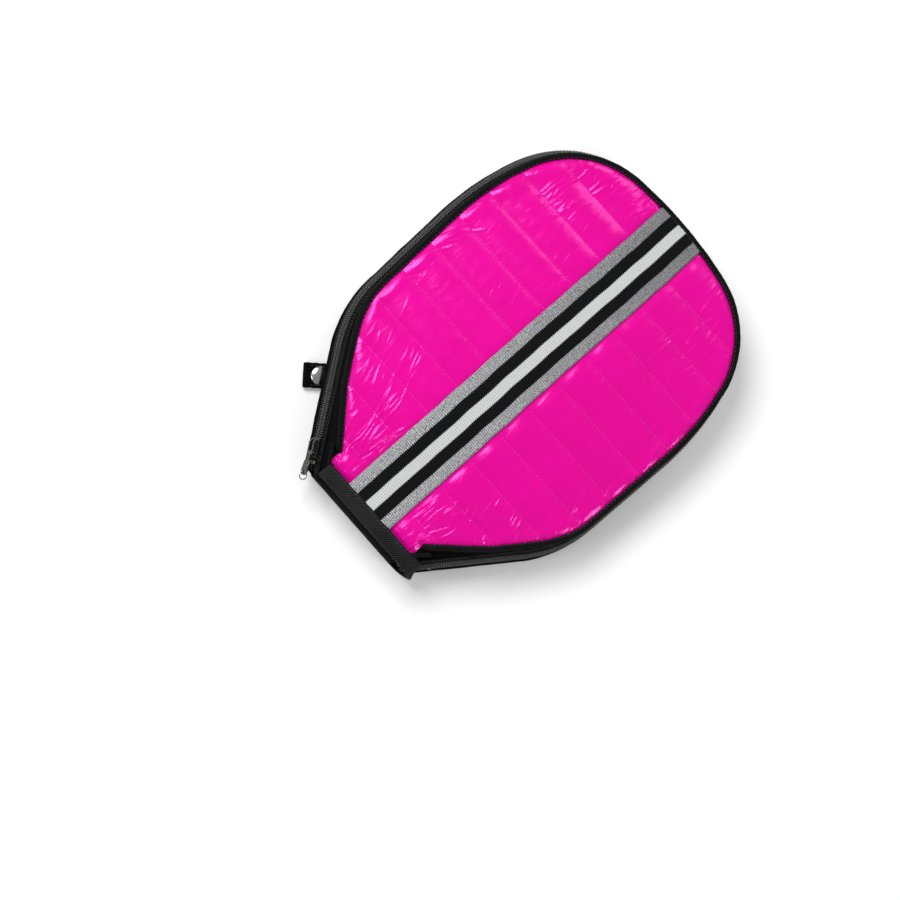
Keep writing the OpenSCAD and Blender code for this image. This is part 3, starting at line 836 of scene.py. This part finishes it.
def ring_section(side, neck, z, r, flat=1.0, count=14):
    """A round bead's section; flat scales its height."""
    turn = np.linspace(0, TAU, count, endpoint=False)
    return [(side - r * math.cos(a), neck - r * math.cos(a), z + flat * r * math.sin(a)) for a in turn]


def bead_wobble(seed):
    """A bead's small waves, and the pull of its stitches."""
    def wobble(s, k):
        waves = 0.08 * ripple(s, 19, seed) + 0.04 * ripple(s, 6, seed + 1)
        pull = 0.03 * np.cos(TAU * s / 3.0 + k)
        return waves + pull * 0.5, 0.10 * ripple(s, 23, seed + 2) + pull
    return wobble


SPAN = (BEAD_BARE, TOTAL - BEAD_BARE)
PIPINGS = (("front_piping", "front_edge_binding", FRONT, EDGE_Z - BEAD_R + 0.1, 51),
           ("back_piping", "back_edge_binding", BACK, BEAD_R + 0.35, 57))
for name, node, body, z, seed in PIPINGS:
    drawn = 1.0 if body == FRONT else 0.0
    piece = sweep(name, ring_section(*BEAD_IN, z, BEAD_R + 0.15, 0.95), TAPE, body, SPAN, 1.3,
                  bead_wobble(seed), drawn)
    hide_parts(node)
    s = np.linspace(SPAN[0] + 1, SPAN[1] - 1, 500)
    up = 1 if body == FRONT else -1
    extra = 1.35 + drawn * drawn_in(s)
    rim = on_path(s, BEAD_IN[0] + extra, BEAD_IN[1] + extra, z + up * 1.62)
    tilt = np.stack([*path_axes(s)[:, 2, :2].T * -0.5, np.full(len(s), float(up))], -1)
    stitched(name + "_stitches", [(rim, tilt)], (2.0, 0.9, 0.17, 0.13), body, BLACK_THREAD)


for body, z, name in ((FRONT, EDGE_Z - 1.5, "front_hem"), (BACK, 1.5, "back_hem")):
    for side, span in (("left", (8, BEAD_BARE + 2)), ("right", (TOTAL - BEAD_BARE - 2, TOTAL - 8))):
        sweep(f"{name}_{side}", ring_section(8.4, 8.4, z, 1.25, 1.1), TAPE, body, span, 1.0,
              bead_wobble(59), 0.55 if name == "front_hem" else 0)


def sag(seed, depth=0.12):
    """Soft folds: the wall moves in and out between its two seams."""
    def wobble(s, k):
        top = k.max() // 2
        across = np.sin(math.pi * np.where(k <= top, k / max(top, 1), (2 * top + 1 - k) / max(top, 1)))
        across = np.clip(across, 0, 1)
        fold = depth * (0.7 * ripple(s, 34, seed) + 0.45 * ripple(s, 11, seed + 1))
        return fold * across, 0.3 * fold * across
    return wobble


def gusset(name, wall_line, body, node, seed, drawn=0.0):
    """A mesh band from the zip tape to a panel's edge; wall_line has (side inset, neck inset, z) rows."""
    piece = sweep(name, wall(wall_line.tolist(), 1.2), MESH, body, step=1.6,
                  wobble=sag(seed), drawn=drawn)
    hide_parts(node)


front_wall = fine([(7.4, 10.9, 39.6), (6.6, 9.6, 37.6), (5.9, 8.4, 35.0), (5.75, 7.6, 32.6),
                   (6.4, 8.0, 31.0)], 9)
share = np.linspace(1, 0, 9) ** 0.8
gusset("front_gusset_cloth", front_wall, FRONT, "front_gusset", 61,
       np.r_[share, share[::-1]])
back_wall = fine([(2.0, 2.9, 21.0), (0.9, 1.8, 19.4), (0.25, 0.45, 16.6), (0.1, 0.1, 13.6), (0.8, 1.4, 10.2),
                  (2.9, 4.8, 6.6), (6.6, 9.9, 3.4)], 15)
gusset("back_gusset_cloth", back_wall, BACK, "back_gusset", 67)


# ===== zip =====

TOOTH_PITCH = 1.4
COIL_END = 7.4
ROWS = ((1, "front_zip_tape", "front_zip_coil", FRONT),
        (-1, "back_zip_tape", "back_zip_coil", BACK))


def tape_section(side):
    """The section of one zip tape: it lies behind the coil and is sewn to the gusset."""
    face = (0.75, -0.80), (1.6, -0.72), (2.9, -0.66), (4.2, -0.60), (5.3, -0.50), (6.3, -0.62)
    section = wall([zip_in(side * rise, out) for rise, out in face], 0.62 / math.cos(ZIP_TILT))
    return section if side > 0 else section[::-1]


for side, tape, coil, body in ROWS:
    piece = sweep(tape + "_cloth", tape_section(side), ZIPTAPE, body, step=1.8,
                  wobble=lambda s, k: (0.10 * ripple(s, 21, 71), 0))
    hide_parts(tape)
    s = np.arange(COIL_END, TOTAL - 4, TOOTH_PITCH) + (TOOTH_PITCH / 2 if side < 0 else 0)
    points, faces = bead([(0.38, 0, 0), (0.50, 0.46, 0.48), (0.95, 0.55, 0.74), (1.7, 0.43, 0.70),
                          (2.45, 0.45, 0.62), (2.8, 0, 0)], 8)
    axes = path_axes(s, ZIP_TILT)
    axes = np.stack([side * axes[:, 1] / math.cos(ZIP_TILT), axes[:, 0], axes[:, 2]], -2)
    if side < 0:
        faces = [f[::-1] for f in faces]
    piece = scatter(coil + "_teeth", points, faces, on_path(s, *ZIP_IN, ZIP_Z), axes, COIL, body)
    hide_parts(coil)
    s = np.linspace(COIL_END - 1, TOTAL - 4, 560)
    face = path_axes(s, ZIP_TILT)[:, 2]
    sewn = [(on_path(s, *zip_in(side * rise, out)), face)
            for rise, out in ((2.0, 0.74), (3.15, -0.62), (5.25, -0.46))]
    stitched(tape + "_stitches", sewn, (1.5, 0.75, 0.15, 0.12), body, BLACK_THREAD)


# ===== neck =====

def folded_tape(name, centre, out, half, y_in, body):
    """A tape folded over the neck's end: centre and out are (x, z) rows, half its half thickness."""
    end = -HALF - 0.35
    rings = []
    for (cx, cz), (ox, oz), h, y0 in zip(centre, out, half, y_in):
        mid = (y0 + end) / 2
        profile = [(y0, h - 0.5), (y0 - 0.35, h), (y0 - 2.2, h + 0.16), (mid, h + 0.05),
                   (end + 1.5, h + 0.02), (end + 0.45, h * 0.78), (end, h * 0.35), (end - 0.05, 0),
                   (end, -h * 0.35), (end + 0.45, -h * 0.78), (end + 1.5, -h), (mid, -h - 0.05),
                   (y0 - 2.2, -h - 0.12), (y0 - 0.35, -h), (y0, -h + 0.5)]
        rings.append([(cx + ox * o, y, cz + oz * o) for y, o in profile])
    return tube(name, rings, NECK_TAPE, body)


def neck_binding(name, mid_z, half, body, node, seed, lift, reach=(38.0, 37.5)):
    """The binding along one panel's end, with its two rows of stitches."""
    x = np.linspace(-reach[0], reach[1], 60)
    z = mid_z + lift * (1 - (x / 38) ** 2) + 0.18 * ripple(x, 14, seed)
    end = np.minimum(x + reach[0], reach[1] - x)
    thick = half * (0.80 + 0.20 * smooth(end / 2.5)) + 0.10 * ripple(x, 9, seed + 1)
    inner = PANEL_LOW + 0.1 + 0.25 * ripple(x, 18, seed + 2)
    piece = folded_tape(name, np.stack([x, z], -1), np.tile((0, 1.0), (len(x), 1)), thick, inner, body)
    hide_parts(node)
    lines = []
    for face in (1, -1):
        line = np.stack([x[1:-1], inner[1:-1] - 1.7, (z + face * (thick + 0.16))[1:-1]], -1)
        lines.append((line, np.tile((0, 0, float(face)), (len(line), 1))))
    stitched(name + "_stitches", lines, (2.1, 1.0, 0.18, 0.14), body, BLACK_THREAD)


neck_binding("front_neck_tape", EDGE_Z - 2.5, 3.05, FRONT, "front_neck_binding", 81, 0.4)
neck_binding("back_neck_tape", 2.85, 2.75, BACK, "back_neck_binding", 87, 0.0)


def neck_corner():
    """The binding goes on round the closed end of the zip."""
    count = 46
    route = fine([(35.5, EDGE_Z - 2.3), (40.2, EDGE_Z - 3.2), (44.2, EDGE_Z - 7.0), (46.6, 31.5),
                  (48.2, 26.6), (49.0, 21.0), (48.6, 15.0), (46.8, 9.6), (43.0, 5.2), (38.5, 3.2),
                  (35.5, 2.9)], count)
    ahead = unit(np.gradient(route, axis=0))
    out = np.stack([-ahead[:, 1], ahead[:, 0]], -1)
    t = np.linspace(0, 1, count)
    away = np.minimum(t, 1 - t)
    half = 2.85 - 1.5 * smooth(away / 0.16)
    inner = PANEL_LOW + 0.2 + 1.4 * smooth(away / 0.2) + 0.25 * ripple(t * 60, 15, 91)
    piece = folded_tape("hinge_tape", route, out, half, inner, None)
    rings = np.array([v.co for v in piece.data.vertices]).reshape(count, -1, 3) / MM
    flare = np.exp(-((t - 0.56) / 0.16) ** 2)[:, None] * smooth((-HALF + 6.5 - rings[..., 1]) / 6)
    rings[..., 0] += 2.2 * flare
    rings[..., 1] += 0.9 * flare
    piece.data.vertices.foreach_set("co", (rings * MM).astype(np.float32).ravel())
    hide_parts("hinge_leaf_front", "hinge_leaf_back")
    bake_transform(piece)


neck_corner()


# ===== tab =====

def tab_frame():
    """Origin and axes of the tab: along the taper, up, and outwards, from its joint."""
    joint = next(j for j in frame["joints"] if j["name"] == "snap_open")
    x, y, _ = joint["axis"]
    return np.array(joint["pos_m"]) / MM, np.array([x, y, 0]), np.array([y, -x, 0])


def tab():
    """Webbing from under the back panel's edge, folded back over itself."""
    fold, along, outwards = tab_frame()
    r, thick, wide = 1.25, 1.35, 8
    route = fine([(-17.0, -r), (-12, -r), (-6, -r - 0.05), (-2, -r), (0.6, -r * 0.92), (1.45, 0),
                  (0.6, r * 0.95), (-2, r + 0.05), (-6, r), (-10, r + 0.05), (-13.6, r + 0.2)], 48)
    ahead = unit(np.gradient(route, axis=0))
    side = np.stack([ahead[:, 1], -ahead[:, 0]], -1)
    half = thick / 2
    rings = []
    for i, (p, q) in enumerate(zip(route, side)):
        ring = []
        for a, h in ((-1, 0.55), (-0.94, 1), (-0.5, 1), (0, 1.04), (0.5, 1), (0.94, 1), (1, 0.55),
                     (1, -0.55), (0.94, -1), (0.5, -1), (0, -1.04), (-0.5, -1), (-0.94, -1), (-1, -0.55)):
            n, z = p + q * half * h
            ring.append(fold + along * (a * (wide + 0.12 * math.sin(i * 0.9))) + outwards * n + (0, 0, z))
        rings.append(ring)
    piece = tube("tab_webbing", np.array(rings)[:, ::-1], WEB, None)
    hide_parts("tab_base", "tab_flap")
    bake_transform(piece)
    lines = []
    for a in (-1, 1):
        rows = [fold + along * a * 6.4 + outwards * n + (0, 0, r + half + 0.1) for n in (-12.6, -8, -1.5)]
        lines.append((np.array(rows), np.tile((0, 0, 1.0), (3, 1))))
    stitched("tab_stitches", lines, (1.8, 0.8, 0.17, 0.13), "snap_flap", BLACK_THREAD)


tab()


# ===== metal =====

def refined(node, name, material, body, width, segments=3, bend=35):
    """A copy of a CAD node with rounded edges and an even smooth finish; width is the rounding, in mm."""
    mesh = frame["nodes"][node].data.copy()
    work = bmesh.new()
    work.from_mesh(mesh)
    bmesh.ops.remove_doubles(work, verts=work.verts, dist=0.002 * MM)
    bmesh.ops.dissolve_limit(work, angle_limit=math.radians(2), verts=work.verts, edges=work.edges)
    work.to_mesh(mesh)
    work.free()
    mesh.name = name
    mesh.materials.clear()
    mesh.materials.append(material)
    piece = linked(name, mesh)
    soft = piece.modifiers.new("edges", "BEVEL")
    soft.width, soft.segments, soft.limit_method = width * MM, segments, "ANGLE"
    soft.angle_limit = math.radians(bend)
    mesh.shade_smooth()
    split = piece.modifiers.new("even", "WEIGHTED_NORMAL")
    split.keep_sharp = True
    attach(piece, body)
    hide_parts(node)


refined("slider_body", "slider", DARK, "slider", 0.22)
refined("puller_pin", "slider_pin", BRIGHT, "slider", 0.12)
refined("puller_plate", "puller", DARK, "puller", 0.28)
refined("puller_ring", "pull_ring", BRIGHT, "pull_ring", 0.02, 1)
refined("snap_cap", "snap_button", BRIGHT, "snap_flap", 0.22, 4, 20)
refined("snap_socket", "snap_socket_ring", BRIGHT, "snap_flap", 0.08, 2)
refined("snap_stud", "snap_post", BRIGHT, BACK, 0.12, 2)
refined("front_top_stop", "front_stop", DARK, FRONT, 0.25)
refined("back_top_stop", "back_stop", DARK, BACK, 0.25)
refined("zip_end_stop", "end_stop", DARK, BACK, 0.08)


# ===== studio =====

FLOOR = 3000
floor = make("floor", [(FLOOR * x, FLOOR * y, -0.3) for x, y in ((-1, -1), (1, -1), (1, 1), (-1, 1))],
             [(0, 1, 2, 3)], pale_floor())

AIM = Vector((7.9, -69.0, 20)) * MM              # the middle of the view
TURN = math.radians(48.608178)                   # of the picture's right from X
RIGHT_OF_VIEW = Vector((math.cos(TURN), math.sin(TURN), 0))
UP_OF_VIEW = Vector((-math.sin(TURN), math.cos(TURN), 0))
DISTANCE, SPREAD = 1.5, 0.5735                   # the camera's distance, and the width that it sees there
LEAN_X, LEAN_Y = math.radians(6), math.radians(9.5)              # how far it stands from straight above
AWAY = Vector((-math.sin(LEAN_X), -math.sin(LEAN_Y), 1)).normalized()


def facing(away, right):
    """A rotation that looks against away with right to the right."""
    x = (right - right.dot(away) * away).normalized()
    return Matrix((x, away.cross(x), away)).transposed().to_4x4()


def camera():
    data = bpy.data.cameras.new("camera")
    data.sensor_width = 36
    data.lens = 36 * DISTANCE / SPREAD
    data.dof.use_dof = False
    data.clip_start, data.clip_end = 0.05, 30
    item = linked("camera", data)
    item.matrix_world = Matrix.Translation(AIM + AWAY * DISTANCE) @ facing(AWAY, RIGHT_OF_VIEW)
    bpy.context.scene.camera = item


def lamp(name, right, up, high, size, power):
    """A soft light at a place given as in the view: to the right, up, and over the floor, in metres."""
    data = bpy.data.lights.new(name, "AREA")
    data.shape, data.size, data.energy = "DISK", size, power
    place = RIGHT_OF_VIEW * right + UP_OF_VIEW * up + Vector((0, 0, high))
    away = (place - AIM).normalized()
    linked(name, data).matrix_world = Matrix.Translation(place) @ facing(away, Vector((0.6, 0.8, 0.01)))


camera()
lamp("key", -0.70, 0.80, 1.5, 0.9, 23)
lamp("left", -1.6, -0.3, 1.0, 0.7, 7)
lamp("top", 1.1, 1.3, 1.1, 1.0, 8)
lamp("right", 1.25, -1.2, 0.9, 0.5, 7)
world = bpy.data.worlds.new("studio")
world.use_nodes = True
world.node_tree.nodes["Background"].inputs["Color"].default_value = (1, 1, 1, 1)
world.node_tree.nodes["Background"].inputs["Strength"].default_value = 0.33
bpy.context.scene.world = world
bpy.context.scene.view_settings.view_transform = "Standard"
